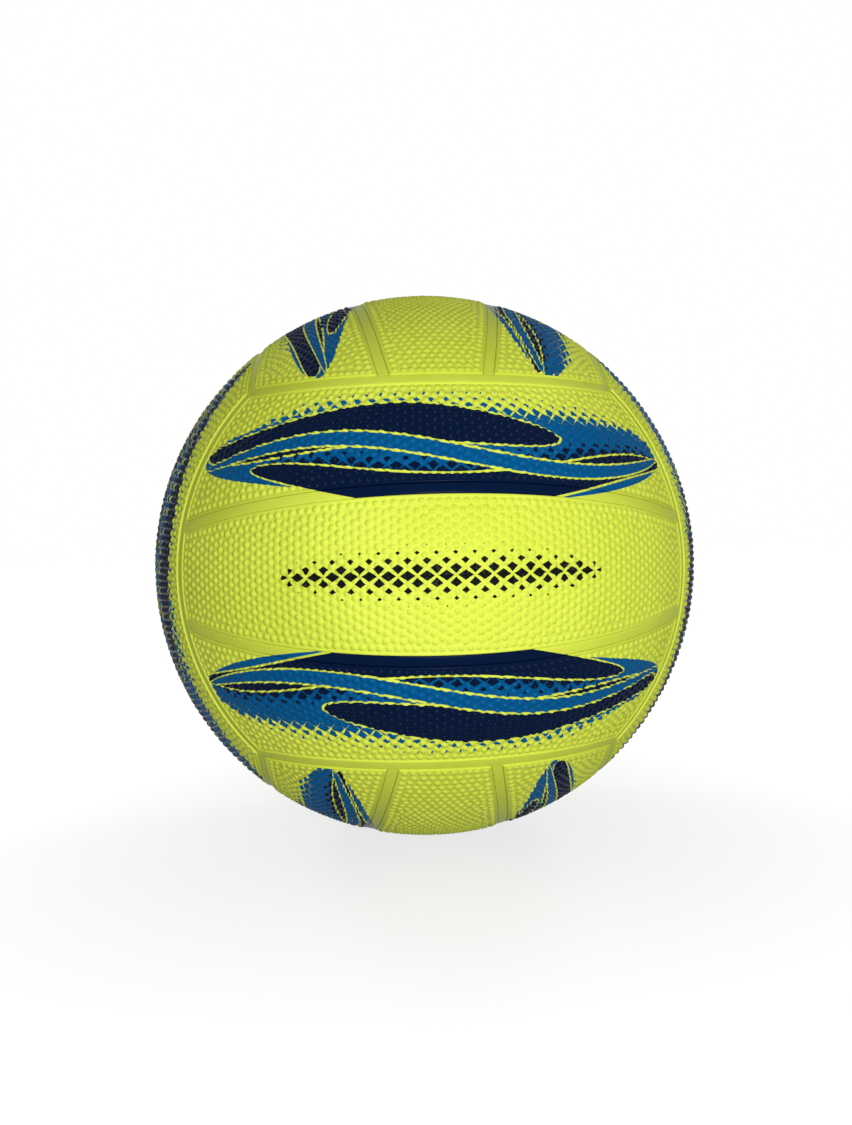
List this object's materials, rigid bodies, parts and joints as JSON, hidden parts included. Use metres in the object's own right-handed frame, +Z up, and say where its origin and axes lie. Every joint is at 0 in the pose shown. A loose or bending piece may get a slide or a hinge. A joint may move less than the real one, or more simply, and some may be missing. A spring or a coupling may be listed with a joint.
{
  "type": "netball",
  "caption": "Moulded rubber netball with a pebbled cover of strips in six faces, recessed channels between them and a needle valve at the back.",
  "frame": {"origin": "centre of the ball", "axes": "-Y through the middle of the front face, +Z up through the top face, +Y out of the valve"},
  "size_m": [0.2228, 0.2227, 0.2228],
  "materials": {
    "plain_panel": "pebbled moulded rubber, bright yellow-green, low sheen",
    "printed_panel": "pebbled moulded rubber with a blue and navy print",
    "channel_rubber": "smooth moulded rubber",
    "yarn": "wound nylon yarn set in rubber cement",
    "bladder_rubber": "smooth butyl rubber",
    "boot_rubber": "smooth moulded rubber",
    "core_rubber": "smooth oiled rubber"
  },
  "bodies": {
    "root": {"front_upper_panel": "printed_panel", "front_middle_panel": "plain_panel", "front_lower_panel": "printed_panel", "back_upper_panel": "printed_panel", "back_middle_panel": "plain_panel", "back_lower_panel": "printed_panel", "left_front_panel": "printed_panel", "left_middle_panel": "plain_panel", "left_back_panel": "printed_panel", "right_front_panel": "printed_panel", "right_middle_panel": "plain_panel", "right_back_panel": "printed_panel", "top_left_panel": "printed_panel", "top_middle_panel": "plain_panel", "top_right_panel": "printed_panel", "bottom_left_panel": "printed_panel", "bottom_middle_panel": "plain_panel", "bottom_right_panel": "printed_panel", "carcass": "channel_rubber", "yarn_winding": "yarn", "bladder": "bladder_rubber", "valve_boot": "boot_rubber", "valve_core": "core_rubber"}
  },
  "joints": []
}
